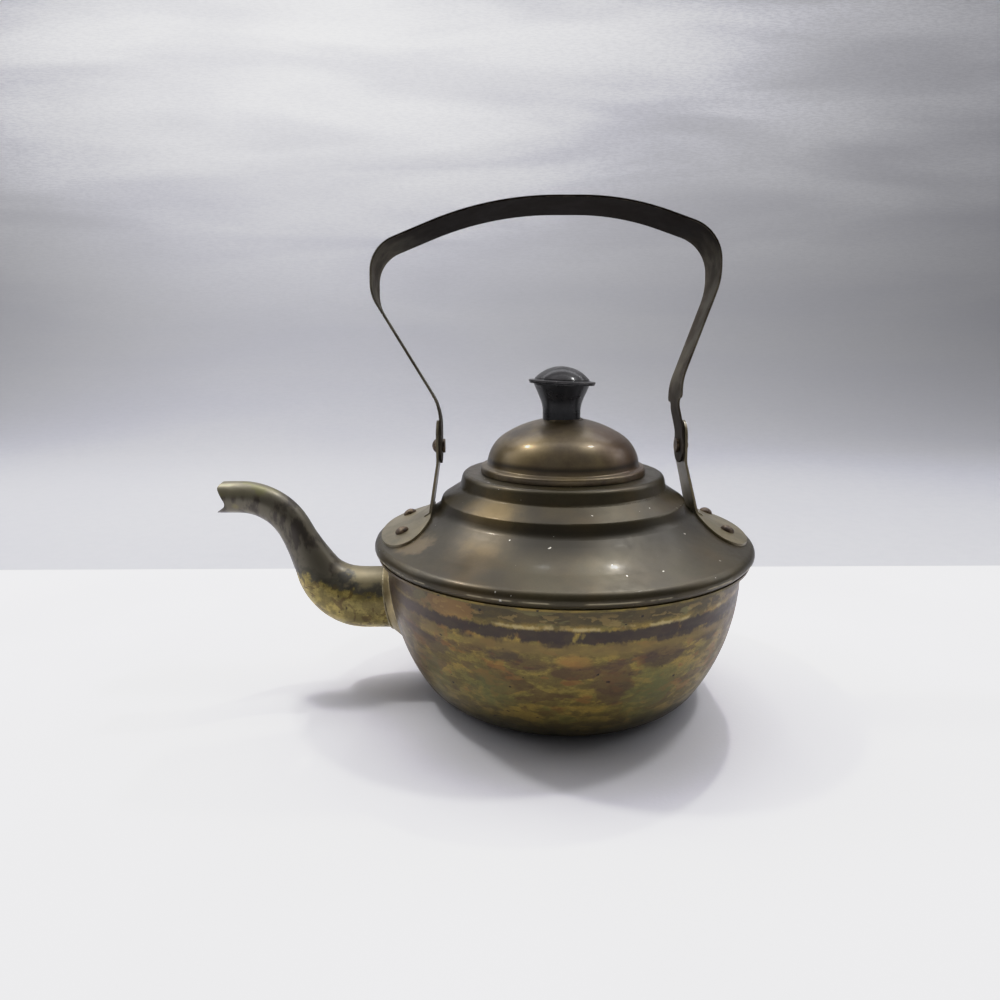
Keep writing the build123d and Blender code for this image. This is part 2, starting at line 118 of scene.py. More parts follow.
def split(tree, vector):
    return addNode(tree, "ShaderNodeSeparateXYZ", {0: vector}).outputs


def joined(tree, x, y, z):
    return addNode(tree, "ShaderNodeCombineXYZ", {0: x, 1: y, 2: z}).outputs[0]


def ramp(tree, value, low, high, fromValue=0.0, toValue=1.0):
    # a smooth step between two limits
    settings = {"Value": value, "From Min": low, "From Max": high, "To Min": fromValue, "To Max": toValue}
    return addNode(tree, "ShaderNodeMapRange", settings, interpolation_type="SMOOTHSTEP").outputs[0]


def stepAt(tree, value, middle, half):
    # the same step, given by its middle and half its width
    return ramp(tree, value, minus(tree, middle, half), plus(tree, middle, half))


def blend(tree, mask, first, second, mode="MIX"):
    return addNode(tree, "ShaderNodeMix", {0: mask, 6: first, 7: second},
                   data_type="RGBA", blend_type=mode).outputs[2]


def noiseOf(tree, where, scale, detail, roughness=0.5, distortion=0.0):
    settings = {"Vector": where, "Scale": scale, "Detail": detail, "Roughness": roughness,
                "Distortion": distortion}
    return addNode(tree, "ShaderNodeTexNoise", settings).outputs[0]


def swing(tree, noise, amount):
    # a noise turned into a push either way
    return times(tree, minus(tree, noise, 0.5), amount)


def useGroup(tree, group, inputs):
    return addNode(tree, "ShaderNodeGroup", inputs, node_tree=group).outputs


number, colour, place = "NodeSocketFloat", "NodeSocketColor", "NodeSocketVector"


def newGroup(name, inputs, outputs):
    group = bpy.data.node_groups.new(name, "ShaderNodeTree")
    for socketName, kind, value in inputs:
        socket = group.interface.new_socket(socketName, in_out="INPUT", socket_type=kind)
        if value is not None:
            socket.default_value = value
    for socketName, kind in outputs:
        group.interface.new_socket(socketName, in_out="OUTPUT", socket_type=kind)
    return group, group.nodes.new("NodeGroupInput").outputs, group.nodes.new("NodeGroupOutput").inputs


# effects that several finishes share, each one a node group

noiseTop, noiseSpan = 0.70, 0.4  # a noise seldom leaves 0.30 to 0.70, so a share is cut from that span
pushWidth = 4.0  # and a push by it is widened by this, to come near the size that was asked for


def levelled(tree, where, stretch, shift):
    # heights are stretched, so that clouds and stains lie level round the kettle
    scaled = vectorMath(tree, "MULTIPLY", where, joined(tree, 1.0, 1.0, stretch))
    return vectorMath(tree, "ADD", scaled, shift)


def share(tree, noise, amount, edge):
    # cuts a noise so that about the given share of the surface is covered
    middle = minus(tree, noiseTop, times(tree, amount, noiseSpan))
    return stepAt(tree, noise, middle, times(tree, edge, 0.5))


tarnishLook = {
    "warmDetail": 0.58, "darkDetail": 0.60, "darkPlace": (0.31, 0.17, 0.53), "darkFiner": 1.4,
    "grainScale": 1400.0, "mottleScale": 320.0, "fineDetail": 0.7, "grainLow": 0.36, "grainHigh": 0.64,
    "grainShows": 0.5, "grainDepth": 0.4, "mottleDulls": 0.22, "darkDulls": 0.06, "warmShines": 0.04,
}


def makeTarnish():
    # clouds of warm rubbed metal and dark oxide over a base colour, with a fine grain
    tree, given, out = newGroup("tarnish", [
        ("Place", place, None), ("Base", colour, None), ("Warm", colour, None), ("Dark", colour, None),
        ("Cloud Size", number, 0.02), ("Warm Share", number, 0.4), ("Dark Share", number, 0.4),
        ("Edge", number, 0.3), ("Stretch", number, 1.5), ("Grain", number, 0.25),
        ("Roughness", number, 0.4), ("Shift", place, (0, 0, 0)),
    ], [("Color", colour), ("Roughness", number), ("Height", number)])
    look = tarnishLook
    spot = levelled(tree, given["Place"], given["Stretch"], given["Shift"])
    moved = vectorMath(tree, "ADD", spot, look["darkPlace"])
    scale = oneOver(tree, given["Cloud Size"])
    warm = noiseOf(tree, spot, scale, 6.0, look["warmDetail"])
    dark = noiseOf(tree, moved, times(tree, scale, look["darkFiner"]), 6.0, look["darkDetail"])
    grain = noiseOf(tree, spot, look["grainScale"], 4.0, look["fineDetail"])
    mottle = noiseOf(tree, moved, look["mottleScale"], 5.0, look["fineDetail"])
    warmMask = share(tree, warm, given["Warm Share"], given["Edge"])
    darkMask = share(tree, dark, given["Dark Share"], given["Edge"])
    shade = blend(tree, warmMask, given["Base"], given["Warm"])
    shade = blend(tree, darkMask, shade, given["Dark"])
    level = addNode(tree, "ShaderNodeMapRange", {
        "Value": mixed(tree, grain, mottle, look["grainShows"]),
        "From Min": look["grainLow"], "From Max": look["grainHigh"],
        "To Min": opposite(tree, given["Grain"]), "To Max": plus(tree, 1.0, given["Grain"])}).outputs[0]
    grey = addNode(tree, "ShaderNodeCombineColor", {0: level, 1: level, 2: level}).outputs[0]
    rough = plus(tree, given["Roughness"], swing(tree, mottle, look["mottleDulls"]))
    rough = plus(tree, rough, times(tree, darkMask, look["darkDulls"]))
    rough = minus(tree, rough, times(tree, warmMask, look["warmShines"]))
    tree.links.new(blend(tree, 1.0, shade, grey, "MULTIPLY"), out["Color"])
    tree.links.new(rough, out["Roughness"])
    tree.links.new(mixed(tree, grain, mottle, look["grainDepth"]), out["Height"])
    return tree


def makeStain():
    # map-like stains with a crisp wavy border, between two heights with soft ends
    tree, given, out = newGroup("stain", [
        ("Place", place, None), ("Size", number, 0.02), ("Share", number, 0.4), ("Edge", number, 0.03),
        ("Swirl", number, 0.4), ("Stretch", number, 1.8), ("Shift", place, (0, 0, 0)),
        ("Low", number, -1.0), ("High", number, 1.0), ("Fade", number, 0.004),
    ], [("Mask", number)])
    spot = levelled(tree, given["Place"], given["Stretch"], given["Shift"])
    noise = noiseOf(tree, spot, oneOver(tree, given["Size"]), 4.5, 0.52, given["Swirl"])
    mask = share(tree, noise, given["Share"], given["Edge"])
    height = split(tree, given["Place"])[2]
    above = stepAt(tree, height, given["Low"], given["Fade"])
    below = stepAt(tree, height, given["High"], given["Fade"])
    within = times(tree, above, opposite(tree, below))
    tree.links.new(times(tree, mask, within), out["Mask"])
    return tree


bandLook = {"flatten": 0.6, "raggedScale": 420.0, "gapEdge": 0.08}


def makeBand():
    # a level stripe round the kettle whose height wanders and whose edges are ragged
    tree, given, out = newGroup("band", [
        ("Place", place, None), ("Height", number, 0.05), ("Half Width", number, 0.003),
        ("Wander", number, 0.002), ("Wander Size", number, 0.02), ("Edge", number, 0.001),
        ("Shift", number, 0.0), ("Ragged", number, 0.0), ("Gaps", number, 0.0), ("Gap Size", number, 0.02),
    ], [("Mask", number)])
    x, y, z = split(tree, given["Place"])
    flat = joined(tree, x, y, plus(tree, times(tree, z, bandLook["flatten"]), given["Shift"]))
    wave = noiseOf(tree, flat, oneOver(tree, given["Wander Size"]), 5.0, 0.55)
    rough = noiseOf(tree, flat, bandLook["raggedScale"], 4.0, 0.65)
    wandered = plus(tree, z, swing(tree, wave, times(tree, given["Wander"], pushWidth)))
    away = calc(tree, "ABSOLUTE", minus(tree, wandered, given["Height"]))
    away = plus(tree, away, swing(tree, rough, times(tree, given["Ragged"], pushWidth)))
    stripe = opposite(tree, stepAt(tree, away, given["Half Width"], given["Edge"]))
    holes = noiseOf(tree, flat, oneOver(tree, given["Gap Size"]), 4.0, 0.6)
    kept = opposite(tree, share(tree, holes, given["Gaps"], bandLook["gapEdge"]))
    tree.links.new(times(tree, stripe, kept), out["Mask"])
    return tree


def makePatch():
    # a ragged blotch about one place
    tree, given, out = newGroup("patch", [
        ("Place", place, None), ("Centre", place, (0, 0, 0)), ("Radius", number, 0.01),
        ("Flatten", number, 1.0), ("Ragged", number, 0.004), ("Ragged Size", number, 0.008),
        ("Edge", number, 0.002),
    ], [("Mask", number)])
    x, y, z = split(tree, vectorMath(tree, "SUBTRACT", given["Place"], given["Centre"]))
    squashed = joined(tree, x, y, times(tree, z, given["Flatten"]))
    distance = vectorValue(tree, "LENGTH", squashed)
    noise = noiseOf(tree, given["Place"], oneOver(tree, given["Ragged Size"]), 6.0, 0.66)
    reach = plus(tree, distance, swing(tree, noise, times(tree, given["Ragged"], pushWidth)))
    tree.links.new(opposite(tree, stepAt(tree, reach, given["Radius"], given["Edge"])), out["Mask"])
    return tree


speckLook = {"bend": 0.0016, "bendScale": 500.0, "least": 0.35, "more": 0.9, "core": 0.6}


def makeSpecks():
    # small dots of dirt or lime of uneven size, some places left clean
    tree, given, out = newGroup("specks", [
        ("Place", place, None), ("Spacing", number, 0.004), ("Size", number, 0.12), ("Share", number, 0.3),
        ("Stretch", number, 1.0),
    ], [("Mask", number)])
    look = speckLook
    spot = levelled(tree, given["Place"], given["Stretch"], (0.0, 0.0, 0.0))
    bend = addNode(tree, "ShaderNodeTexNoise", {"Vector": spot, "Scale": look["bendScale"], "Detail": 2.0})
    bend = vectorMath(tree, "SUBTRACT", bend.outputs["Color"], (0.5, 0.5, 0.5))
    spot = vectorMath(tree, "ADD", spot, vectorMath(tree, "MULTIPLY", bend, (look["bend"],) * 3))
    cells = addNode(tree, "ShaderNodeTexVoronoi", {"Vector": spot, "Scale": oneOver(tree, given["Spacing"])})
    chance = addNode(tree, "ShaderNodeSeparateColor", {0: cells.outputs["Color"]}).outputs
    uneven = plus(tree, times(tree, chance[1], look["more"]), look["least"])
    size = times(tree, given["Size"], uneven)
    dot = opposite(tree, ramp(tree, cells.outputs["Distance"], times(tree, size, look["core"]), size))
    keep = calc(tree, "LESS_THAN", chance[0], given["Share"])
    tree.links.new(times(tree, dot, keep), out["Mask"])
    return tree


spinLook = {"rubScale": 60.0, "rubStart": 0.3, "rubFull": 0.65}


def makeSpinLines():
    # fine rings left by spinning, which depend on radius and height only and are rubbed out in places
    tree, given, out = newGroup("spinLines", [
        ("Place", place, None), ("Spacing", number, 0.0006)], [("Height", number)])
    x, y, z = split(tree, given["Place"])
    radius = vectorValue(tree, "LENGTH", joined(tree, x, y, 0.0))
    lines = noiseOf(tree, joined(tree, radius, 0.0, z), oneOver(tree, given["Spacing"]), 3.0, 0.6)
    rub = noiseOf(tree, given["Place"], spinLook["rubScale"], 3.0)
    kept = ramp(tree, rub, spinLook["rubStart"], spinLook["rubFull"])
    tree.links.new(times(tree, lines, kept), out["Height"])
    return tree


# sharp and plain are how far the rounded normal agrees with the real one
wearLook = {"sharp": 0.80, "plain": 0.99, "breakScale": 260.0, "breakStart": 0.40, "breakFull": 0.62}


def makeEdgeWear():
    # rubbed bright where an edge stands out
    tree, given, out = newGroup("edgeWear", [
        ("Place", place, None), ("Width", number, 0.0012), ("Amount", number, 1.0)], [("Mask", number)])
    rounded = addNode(tree, "ShaderNodeBevel", {"Radius": given["Width"]}, samples=6).outputs[0]
    real = addNode(tree, "ShaderNodeNewGeometry").outputs["Normal"]
    agree = vectorValue(tree, "DOT_PRODUCT", rounded, real)
    sharp = opposite(tree, ramp(tree, agree, wearLook["sharp"], wearLook["plain"]))
    noise = noiseOf(tree, given["Place"], wearLook["breakScale"], 5.0, 0.7)
    broken = ramp(tree, noise, wearLook["breakStart"], wearLook["breakFull"])
    worn = calc(tree, "MULTIPLY", times(tree, sharp, broken), given["Amount"], clamp=True)
    tree.links.new(worn, out["Mask"])
    return tree


tarnish, stain, band, patch = makeTarnish(), makeStain(), makeBand(), makePatch()
specks, spinLines, edgeWear = makeSpecks(), makeSpinLines(), makeEdgeWear()
print("shared effects built")


# the steps that every finish is made of

def newFinish(name, look):
    material = bpy.data.materials.new(name)
    material.use_nodes = True
    tree = material.node_tree
    shader = tree.nodes["Principled BSDF"]
    shader.inputs["Metallic"].default_value = look["metallic"]
    shader.inputs["Specular IOR Level"].default_value = look["specular"]
    shader.inputs["Coat Weight"].default_value = look["coatWeight"]
    shader.inputs["Coat Roughness"].default_value = look["coatRoughness"]
    where = addNode(tree, "ShaderNodeTexCoord").outputs["Object"]
    return material, tree, shader, where


def layTarnish(tree, where, look):
    return useGroup(tree, tarnish, {
        "Place": where, "Base": look["base"], "Warm": look["warm"], "Dark": look["dark"],
        "Cloud Size": look["cloudSize"], "Warm Share": look["warmShare"], "Dark Share": look["darkShare"],
        "Edge": look["edge"], "Stretch": look["stretch"], "Grain": look["grain"],
        "Roughness": look["roughness"], "Shift": look["shift"]})


def layMarks(tree, where, shade, marks):
    # each mark is a kind of group, its values, a colour and how strong it is
    for group, values, tint, strength in marks:
        mask = useGroup(tree, group, {"Place": where, **values})["Mask"]
        shade = blend(tree, times(tree, mask, strength), shade, tint)
    return shade


def layWear(tree, where, shade, look):
    worn = useGroup(tree, edgeWear, {"Place": where, "Width": look["wornWidth"], "Amount": look["worn"]})
    return blend(tree, worn["Mask"], shade, look["wornTint"])


grainPart = 0.6  # of a spun piece's bump, the rest is its spinning lines


def ringed(tree, where, coat):
    # the grain's height together with the spinning lines
    return mixed(tree, coat["Height"], useGroup(tree, spinLines, {"Place": where})["Height"], grainPart)


def addBump(tree, shader, height, look):
    bump = addNode(tree, "ShaderNodeBump", {
        "Strength": look["bumpStrength"], "Distance": look["bumpDepth"], "Height": height})
    tree.links.new(bump.outputs[0], shader.inputs["Normal"])


def endFinish(tree, shader, shade, coat, height, look):
    tree.links.new(shade, shader.inputs["Base Color"])
    tree.links.new(coat["Roughness"], shader.inputs["Roughness"])
    addBump(tree, shader, height, look)


def makeSpunFinish(name, look, marks=()):
    material, tree, shader, where = newFinish(name, look)
    coat = layTarnish(tree, where, look)
    shade = layWear(tree, where, layMarks(tree, where, coat["Color"], marks), look)
    endFinish(tree, shader, shade, coat, ringed(tree, where, coat), look)
    return material


bowlLook = {
    "base": paint(134, 118, 54), "warm": paint(156, 131, 58), "dark": paint(110, 94, 45),
    "cloudSize": 0.013, "warmShare": 0.48, "darkShare": 0.48, "edge": 0.14, "stretch": 2.2, "grain": 0.34,
    "roughness": 0.40, "shift": (0.0, 0.0, 0.0), "metallic": 0.35, "specular": 0.5, "coatWeight": 0.08,
    "coatRoughness": 0.25, "bumpDepth": 0.00010, "bumpStrength": 0.5,
    "brown": paint(84, 58, 40), "purple": paint(64, 46, 46), "orange": paint(150, 102, 48),
    "green": paint(98, 106, 60), "black": paint(26, 20, 18), "underRim": paint(66, 56, 34),
    # the flank colour is painted shade on both sides of the bowl
    "flankShade": paint(78, 61, 50), "flankStrength": 0.68, "flankStart": 0.044, "flankFull": 0.070,
}
bowlMarks = [
    # map-like stains all round: brown, yellow green, purple and orange
    (stain, {"Size": 0.017, "Share": 0.34, "Edge": 0.03, "Swirl": 0.6, "Stretch": 2.6,
             "Shift": (0.11, 0.4, 0.2), "Low": 0.018, "High": 0.049}, bowlLook["brown"], 0.56),
    (stain, {"Size": 0.020, "Share": 0.36, "Edge": 0.03, "Swirl": 0.5, "Stretch": 1.4,
             "Shift": (0.9, 0.3, 0.1), "Low": 0.010, "High": 0.036}, paint(112, 112, 56), 0.40),
    (stain, {"Size": 0.022, "Share": 0.34, "Edge": 0.06, "Swirl": 0.3, "Stretch": 2.6,
             "Shift": (0.7, 0.1, 0.9), "Low": 0.034, "High": 0.049}, bowlLook["purple"], 0.58),
    (stain, {"Size": 0.009, "Share": 0.30, "Edge": 0.05, "Swirl": 0.3, "Stretch": 2.4,
             "Shift": (0.2, 0.8, 0.4), "Low": 0.020, "High": 0.056}, bowlLook["orange"], 0.50),
    # green blotches low at the front
    (patch, {"Centre": aroundKettle(-27, 71, 27), "Radius": 0.011, "Flatten": 1.5, "Edge": 0.006,
             "Ragged": 0.007, "Ragged Size": 0.005}, bowlLook["green"], 0.42),
    (patch, {"Centre": aroundKettle(21, 72, 28), "Radius": 0.010, "Flatten": 1.2, "Edge": 0.006,
             "Ragged": 0.007, "Ragged Size": 0.005}, bowlLook["green"], 0.42),
    # darker blotches under the dark band, one of them with an orange heart
    (patch, {"Centre": aroundKettle(-22, 76, 43.5), "Radius": 0.0070, "Flatten": 2.6,
             "Ragged": 0.0034}, paint(60, 46, 42), 0.66),
    (patch, {"Centre": aroundKettle(-13, 76, 41), "Radius": 0.0065, "Flatten": 2.4,
             "Ragged": 0.0034}, paint(74, 52, 36), 0.66),
    (patch, {"Centre": aroundKettle(-1, 76, 38), "Radius": 0.0095, "Flatten": 3.0, "Ragged": 0.0032,
             "Edge": 0.0008}, paint(84, 60, 38), 0.75),
    (patch, {"Centre": aroundKettle(-1, 76, 42.5), "Radius": 0.006, "Flatten": 2.2,
             "Ragged": 0.002}, paint(150, 112, 54), 0.60),
    (patch, {"Centre": aroundKettle(24, 76, 42), "Radius": 0.011, "Flatten": 2.6,
             "Ragged": 0.0036}, paint(66, 46, 38), 0.62),
    (patch, {"Centre": aroundKettle(10, 74, 33), "Radius": 0.008, "Flatten": 0.8, "Ragged": 0.003,
             "Edge": 0.001}, paint(84, 62, 44), 0.65),
    # the strip under the rim
    (band, {"Height": 0.0475, "Half Width": 0.0022, "Wander": 0.0008, "Wander Size": 0.03,
            "Edge": 0.0012, "Ragged": 0.0005, "Gaps": 0.25}, paint(124, 104, 54), 0.75),
    (band, {"Height": 0.0600, "Half Width": 0.0034, "Wander": 0.0005, "Wander Size": 0.03,
            "Edge": 0.0016}, bowlLook["underRim"], 0.85),
    (stain, {"Size": 0.016, "Share": 0.36, "Edge": 0.05, "Swirl": 0.3, "Stretch": 3.0,
             "Shift": (0.5, 0.5, 0.7), "Low": 0.0565, "High": 0.0615, "Fade": 0.0012},
     paint(118, 112, 66), 0.70),
    (patch, {"Centre": aroundKettle(-38, 77, 58), "Radius": 0.012, "Flatten": 2.6, "Ragged": 0.007,
             "Ragged Size": 0.004, "Edge": 0.0012}, paint(140, 106, 58), 0.75),
    (stain, {"Size": 0.0050, "Share": 0.33, "Edge": 0.05, "Swirl": 0.3, "Stretch": 2.2,
             "Shift": (0.3, 0.9, 0.2), "Low": 0.0555, "High": 0.0605, "Fade": 0.0014},
     paint(160, 134, 76), 0.45),
    # the dark band, a thinner one below it and the bright line above it
    (band, {"Height": 0.0525, "Half Width": 0.0024, "Wander": 0.0007, "Wander Size": 0.03,
            "Edge": 0.0007, "Ragged": 0.0010, "Gaps": 0.10, "Gap Size": 0.010}, paint(48, 35, 33), 0.92),
    (band, {"Height": 0.0495, "Half Width": 0.0012, "Wander": 0.0007, "Wander Size": 0.02,
            "Edge": 0.0006, "Ragged": 0.0008, "Gaps": 0.55, "Gap Size": 0.016}, paint(52, 38, 32), 0.85),
    (band, {"Height": 0.0556, "Half Width": 0.0005, "Wander": 0.0005, "Wander Size": 0.01,
            "Edge": 0.0005, "Ragged": 0.0006, "Gaps": 0.50, "Gap Size": 0.012}, paint(190, 172, 118), 0.8),
    # painted shade near the floor, standing for the shadowed table that the bowl's foot reflects; pits; and a
    # painted shadow beside the spout's flange
    (band, {"Height": 0.000, "Half Width": 0.013, "Wander": 0.0015, "Wander Size": 0.02,
            "Edge": 0.006, "Shift": 0.2}, paint(42, 38, 24), 0.85),
    (specks, {"Spacing": 0.0052, "Size": 0.16, "Share": 0.35, "Stretch": 1.6}, bowlLook["black"], 0.95),
    (specks, {"Spacing": 0.0021, "Size": 0.13, "Share": 0.25}, paint(60, 48, 34), 0.6),
    (patch, {"Centre": aroundKettle(-74, 77, 48), "Radius": 0.012, "Flatten": 0.75, "Ragged": 0.0012,
             "Edge": 0.0012}, paint(60, 50, 42), 0.75),
]


def makeBowlFinish():
    look = bowlLook
    material, tree, shader, where = newFinish("bowlBrass", look)
    coat = layTarnish(tree, where, look)
    shade = layMarks(tree, where, coat["Color"], bowlMarks)
    # both flanks are painted a dull purple brown: painted shade
    side = calc(tree, "ABSOLUTE", split(tree, where)[0])
    flankShade = ramp(tree, side, look["flankStart"], look["flankFull"])
    shade = blend(tree, times(tree, flankShade, look["flankStrength"]), shade, look["flankShade"])
    endFinish(tree, shader, shade, coat, ringed(tree, where, coat), look)
    return material


lime = paint(205, 200, 188)
limeSpecks = [(specks, {"Spacing": 0.011, "Size": 0.055, "Share": 0.5}, lime, 0.9)]

shoulderLook = {
    "base": paint(66, 59, 39), "warm": paint(80, 66, 40), "dark": paint(56, 49, 33),
    "cloudSize": 0.035, "warmShare": 0.45, "darkShare": 0.45, "edge": 0.32, "stretch": 1.0, "grain": 0.12,
    "roughness": 0.38, "shift": (0.0, 0.0, 0.3), "metallic": 0.50, "specular": 0.5, "coatWeight": 0.08,
    "coatRoughness": 0.14, "bumpDepth": 0.00006, "bumpStrength": 0.4,
    "worn": 0.15, "wornWidth": 0.0008, "wornTint": paint(150, 138, 108),
}
shoulderMarks = [
    # golden blotches at the left: rubbed brass, and the first one also a painted highlight of the left lamp
    (patch, {"Centre": aroundKettle(-38, 50, 83), "Radius": 0.012, "Flatten": 0.9, "Edge": 0.007,
             "Ragged": 0.003}, paint(128, 106, 58), 0.50),
    (patch, {"Centre": aroundKettle(-34, 57, 79), "Radius": 0.010, "Flatten": 1.2, "Edge": 0.006,
             "Ragged": 0.003}, paint(130, 110, 74), 0.45),
    (patch, {"Centre": aroundKettle(-62, 70, 73), "Radius": 0.008, "Flatten": 1.2, "Edge": 0.003,
             "Ragged": 0.005}, paint(140, 122, 92), 0.45),
    # painted shade under the step, and a painted reflection of the table as a bright line along the rim
    (band, {"Height": 0.0817, "Half Width": 0.0036, "Wander": 0.0004, "Wander Size": 0.03,
            "Edge": 0.0030}, paint(46, 42, 32), 0.70),
    (band, {"Height": 0.0668, "Half Width": 0.0002, "Wander": 0.0001, "Wander Size": 0.02,
            "Edge": 0.0003, "Gaps": 0.50, "Gap Size": 0.02}, paint(206, 194, 160), 0.45),
    (specks, {"Spacing": 0.005, "Size": 0.085, "Share": 0.5}, lime, 0.85),
] + limeSpecks

lidLook = {
    "base": paint(110, 97, 74), "warm": paint(124, 108, 76), "dark": paint(88, 76, 60),
    "cloudSize": 0.026, "warmShare": 0.5, "darkShare": 0.45, "edge": 0.30, "stretch": 1.0, "grain": 0.10,
    "roughness": 0.40, "shift": (0.2, 0.1, 0.6), "metallic": 0.45, "specular": 0.5, "coatWeight": 0.14,
    "coatRoughness": 0.12, "bumpDepth": 0.00006, "bumpStrength": 0.4,
    "worn": 0.15, "wornWidth": 0.0008, "wornTint": paint(150, 138, 108),
}
lidMarks = [
    (patch, {"Centre": aroundKettle(60, 30, 112), "Radius": 0.016, "Flatten": 0.8, "Edge": 0.006},
     paint(84, 62, 46), 0.75),
    (patch, {"Centre": aroundKettle(-38, 30, 110), "Radius": 0.008, "Flatten": 0.8, "Edge": 0.005},
     paint(140, 120, 76), 0.40),
    # painted shade: a dark line in the groove at the foot of the dome
    (band, {"Height": 0.1036, "Half Width": 0.0010, "Wander": 0.0003, "Wander Size": 0.02,
            "Edge": 0.0010}, paint(40, 32, 24), 0.75),
] + limeSpecks

earLook = dict(
    shoulderLook, base=paint(124, 114, 88), warm=paint(134, 121, 90), dark=paint(104, 96, 75),
    cloudSize=0.02, shift=(0.5, 0.0, 0.3), metallic=0.35, worn=0.4)
saddleLook = dict(
    earLook, base=paint(164, 150, 112), warm=paint(176, 157, 112), dark=paint(138, 124, 94),
    shift=(0.4, 0.2, 0.3), worn=0.9, wornTint=paint(222, 208, 168))
solderLook = dict(
    saddleLook, base=paint(170, 158, 122), warm=paint(192, 178, 138), dark=paint(120, 108, 82),
    cloudSize=0.004, shift=(0.1, 0.6, 0.3))

strapLook = {
    "base": paint(96, 91, 78), "warm": paint(108, 100, 84), "dark": paint(70, 62, 52),
    "cloudSize": 0.022, "warmShare": 0.4, "darkShare": 0.5, "edge": 0.25, "stretch": 1.0, "grain": 0.16,
    "roughness": 0.52, "shift": (0.1, 0.7, 0.2), "metallic": 0.25, "specular": 0.02, "coatWeight": 0.0,
    "coatRoughness": 0.2, "bumpDepth": 0.00008, "bumpStrength": 0.5,
    "worn": 0.3, "wornWidth": 0.0006, "wornTint": paint(150, 140, 122),
    # the crown colour is painted shade
    "crown": paint(24, 19, 15), "crownStart": 0.176, "crownFull": 0.202,
    "foot": paint(60, 54, 48), "footFull": 0.118, "footEnd": 0.142, "footStrength": 0.7,
    "borderSwing": 0.02, "borderScale": 70.0,
}
rivetLook = dict(
    strapLook, base=paint(100, 84, 64), warm=paint(140, 118, 88), dark=paint(60, 44, 32), cloudSize=0.004,
    shift=(0.9, 0.1, 0.4), specular=0.5, worn=0.6, wornWidth=0.0008, bumpDepth=0.00006, bumpStrength=0.4)
screwLook = dict(
    rivetLook, base=paint(150, 148, 142), warm=paint(170, 166, 158), dark=strapLook["dark"],
    shift=(0.3, 0.3, 0.1), worn=strapLook["worn"])


def makeStrapFinish():
    look = strapLook
    material, tree, shader, where = newFinish("strapBrass", look)
    coat = layTarnish(tree, where, look)
    # the crown is painted almost black and made dull: painted shade on its underside, which faces away from
    # the lamps; the foot of each arm is dark too
    noise = noiseOf(tree, where, look["borderScale"], 5.0, 0.6)
    height = plus(tree, split(tree, where)[2], swing(tree, noise, look["borderSwing"]))
    crown = ramp(tree, height, look["crownStart"], look["crownFull"])
    foot = opposite(tree, ramp(tree, height, look["footFull"], look["footEnd"]))
    shade = blend(tree, crown, coat["Color"], look["crown"])
    shade = blend(tree, times(tree, foot, look["footStrength"]), shade, look["foot"])
    shade = layWear(tree, where, layMarks(tree, where, shade, limeSpecks), look)
    tree.links.new(ramp(tree, crown, 0.0, 1.0, look["metallic"], 0.0), shader.inputs["Metallic"])
    endFinish(tree, shader, shade, coat, coat["Height"], look)
    return material


spoutLook = {
    "base": paint(164, 149, 82), "warm": paint(184, 164, 92), "dark": paint(132, 117, 64),
    "cloudSize": 0.008, "warmShare": 0.45, "darkShare": 0.5, "edge": 0.16, "stretch": 1.2, "grain": 0.2,
    "roughness": 0.40, "shift": (0.7, 0.2, 0.1), "metallic": 0.35, "specular": 0.5, "coatWeight": 0.10,
    "coatRoughness": 0.2, "bumpDepth": 0.00012, "bumpStrength": 0.5,
    # the border of the gold falls towards the beak, and ripples
    "elbow": 0.09, "slope": -0.28, "ripple": 0.022, "rippleScale": 110.0,
    "goldEnds": 0.0450, "greyStarts": 0.0475, "neck": paint(106, 100, 84), "neckDark": paint(68, 61, 52),
    "streakStretch": 0.35, "streakPlace": (0.4, 0.1, 0.0), "streakScale": 130.0, "streakShare": 0.5,
    "streakEdge": 0.12, "line": paint(58, 58, 48), "lineStrength": 0.50, "lineStarts": 0.0440,
    "lineFull": 0.0470, "lineEnds": 0.0510,
    "root": paint(140, 128, 92), "rootStrength": 0.8, "rootStarts": -0.104, "rootFull": -0.092,
    "beak": paint(124, 118, 94), "beakStrength": 0.85, "beakLow": 0.0865, "beakHigh": 0.0895,
    "beakStarts": 0.112, "beakFull": 0.126,
}
spoutMarks = [
    (stain, {"Size": 0.006, "Share": 0.34, "Edge": 0.06, "Swirl": 0.8, "Stretch": 0.8,
             "Shift": (0.3, 0.3, 0.1)}, paint(92, 68, 36), 0.66),
    (specks, {"Spacing": 0.0030, "Size": 0.20, "Share": 0.35, "Stretch": 0.7}, paint(60, 42, 24), 0.85),
]
beakMarks = [
    (patch, {"Centre": (-0.1425, -0.0065, 0.0835), "Radius": 0.0014, "Ragged": 0.0005,
             "Ragged Size": 0.003, "Edge": 0.0007}, paint(126, 118, 86), 0.8),
    (stain, {"Size": 0.010, "Share": 0.30, "Edge": 0.08, "Swirl": 0.3, "Low": 0.0885, "High": 0.098,
             "Fade": 0.0015}, paint(120, 118, 70), 0.6),
]


